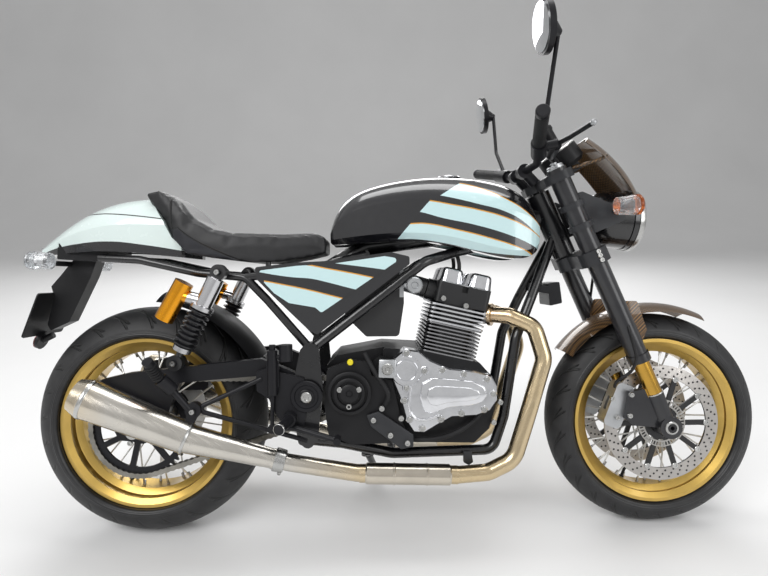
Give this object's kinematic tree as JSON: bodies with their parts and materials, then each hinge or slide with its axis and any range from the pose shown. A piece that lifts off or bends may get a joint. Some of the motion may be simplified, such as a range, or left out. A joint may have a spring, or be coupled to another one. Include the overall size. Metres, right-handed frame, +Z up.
{
  "type": "cafe racer motorcycle",
  "caption": "Parallel-twin cafe racer motorcycle parked on its side stand, with turning wheels, steering and a folding stand.",
  "frame": {"origin": "centre of the parked machine's box on the floor", "axes": "+X forward along the wheelbase, +Y to the machine's left, +Z up; the machine leans to +Y on its side stand"},
  "size_m": [2.0575, 0.8108, 1.3731],
  "materials": {
    "frame_black": "gloss",
    "arm_black": "satin",
    "case_black": "satin",
    "fin_black": "satin",
    "fin_bright": "machined",
    "polished_alloy": "polished",
    "satin_alloy": "satin",
    "stainless": "brushed",
    "gloss_black": "gloss",
    "pearl_white": "gloss",
    "seat_cover": "matt",
    "shock_black": "satin",
    "satin_plastic": "satin",
    "clear_lens": "gloss",
    "chain_steel": "oiled",
    "axle_steel": "satin",
    "yoke_grey": "anodised",
    "fork_black": "satin",
    "grip_rubber": "matt",
    "carbon": "gloss",
    "hose": "satin",
    "tyre": "matt",
    "gold_anodised": "anodised",
    "disc_steel": "ground"
  },
  "bodies": {
    "chassis": {"main_frame": "frame_black", "swingarm": "arm_black", "crankcase": "case_black", "cylinder_barrel": "fin_black", "cylinder_head": "fin_bright", "rocker_covers": "polished_alloy", "timing_cover": "polished_alloy", "sprocket_cover": "case_black", "intake": "satin_alloy", "exhaust_right": "stainless", "exhaust_left": "stainless", "fuel_tank": "gloss_black", "seat": "seat_cover", "tail_cowl": "pearl_white", "side_panels": "gloss_black", "shocks": "shock_black", "plate_hanger": "satin_plastic", "rear_lamps": "clear_lens", "rear_mudguard": "satin_plastic", "hanger_right": "arm_black", "hanger_left": "arm_black", "chain": "chain_steel", "rear_axle": "axle_steel", "rear_caliper": "arm_black", "regulator": "satin_plastic"},
    "steering": {"yokes": "yoke_grey", "fork_legs": "fork_black", "handlebar": "arm_black", "grips": "grip_rubber", "hand_controls": "arm_black", "mirrors": "arm_black", "headlamp": "gloss_black", "flyscreen": "carbon", "instruments": "satin_plastic", "front_indicators": "clear_lens", "front_mudguard": "carbon", "front_calipers": "satin_alloy", "brake_hoses": "hose"},
    "front_wheel": {"front_tyre": "tyre", "front_wheel": "gold_anodised", "front_discs": "disc_steel"},
    "rear_wheel": {"rear_tyre": "tyre", "rear_wheel": "gold_anodised", "rear_sprocket": "arm_black"},
    "side_stand": {"side_stand": "arm_black"}
  },
  "joints": [
    {"name": "steering", "type": "hinge", "parent": "chassis", "child": "steering", "pos_m": [0.46176, -0.05975, 0.81055], "axis": [-0.4067, 0.1627, 0.8989], "range_deg": [-28, 28]},
    {"name": "front_wheel_spin", "type": "hinge", "parent": "steering", "child": "front_wheel", "pos_m": [0.72883, -0.15285, 0.2962], "axis": [0, 0.984, -0.1781], "continuous": true},
    {"name": "rear_wheel_spin", "type": "hinge", "parent": "chassis", "child": "rear_wheel", "pos_m": [-0.69117, -0.15009, 0.31147], "axis": [0, 0.984, -0.1781], "continuous": true},
    {"name": "side_stand", "type": "hinge", "parent": "chassis", "child": "side_stand", "pos_m": [-0.09117, -0.07948, 0.15133], "axis": [-0.0252, 0.7218, 0.6917], "range_deg": [0, 91]}
  ]
}
